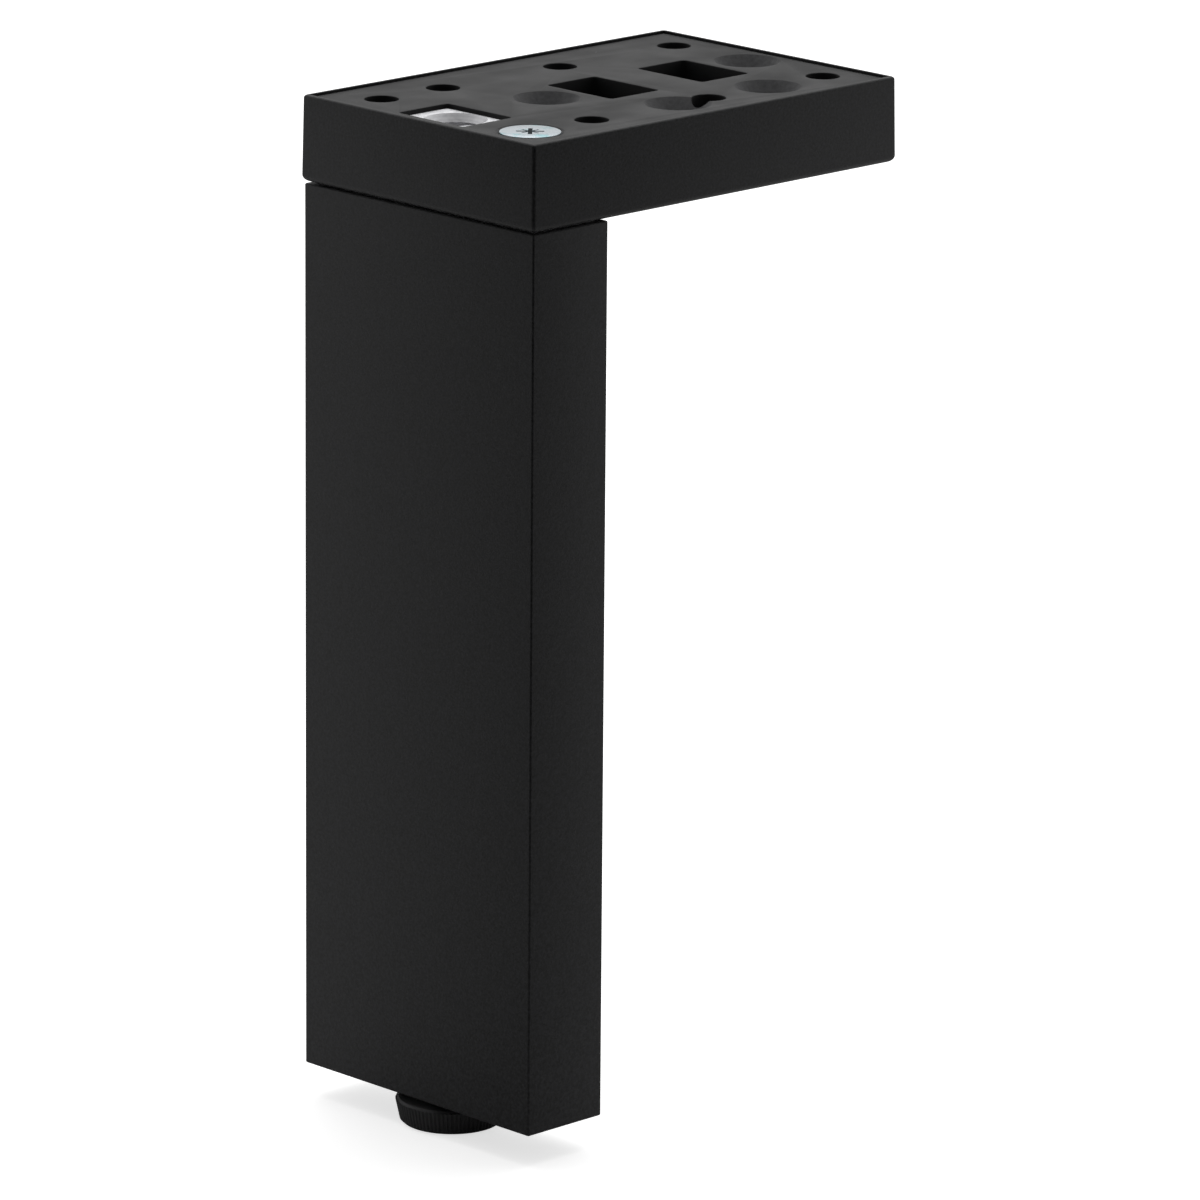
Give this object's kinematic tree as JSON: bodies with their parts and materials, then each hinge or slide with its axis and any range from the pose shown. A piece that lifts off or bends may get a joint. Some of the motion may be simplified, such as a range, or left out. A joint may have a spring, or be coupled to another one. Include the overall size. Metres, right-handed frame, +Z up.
{
  "type": "furniture leg",
  "caption": "Flat rectangular furniture leg under one end of an offset fixing plate with screw holes, countersunk seats and sockets, standing on a ribbed screw foot that sets its height.",
  "frame": {"origin": "middle of the outer fixing holes, in the plane of the plate's rim, which goes against the furniture", "axes": "+Z up into the furniture, +X along the plate from the leg to the free end, +Y across the plate"},
  "size_m": [0.1008, 0.066, 0.2053],
  "materials": {
    "black_powder_coat": "fine matt black powder coat on aluminium",
    "black_moulding": "moulded, satin",
    "foot_moulding": "moulded, matt, with fine ribs",
    "cast_metal": "casting with a turned bore",
    "zinc_plate": "bright zinc plating on steel"
  },
  "bodies": {
    "leg": {"plate_cover": "black_powder_coat", "mounting_plate": "black_moulding", "leg_tube": "black_powder_coat", "leg_head": "cast_metal", "fixing_screw": "zinc_plate", "end_plug": "black_moulding", "foot_nut": "zinc_plate"},
    "spindle": {"foot_stud": "zinc_plate"},
    "disc": {"foot_disc": "foot_moulding"}
  },
  "joints": [
    {"name": "foot_height", "type": "slide", "parent": "leg", "child": "spindle", "axis": [0, 0, -1], "range_m": [-0.00125, 0.01]},
    {"name": "foot_turn", "type": "hinge", "parent": "spindle", "child": "disc", "pos_m": [-0.0485, 0, -0.2], "axis": [0, 0, -1], "range_deg": [-360, 2880]}
  ],
  "couplings": [
    {"joint": "foot_turn", "follows": "foot_height", "rad_per_m": 5026.5}
  ]
}
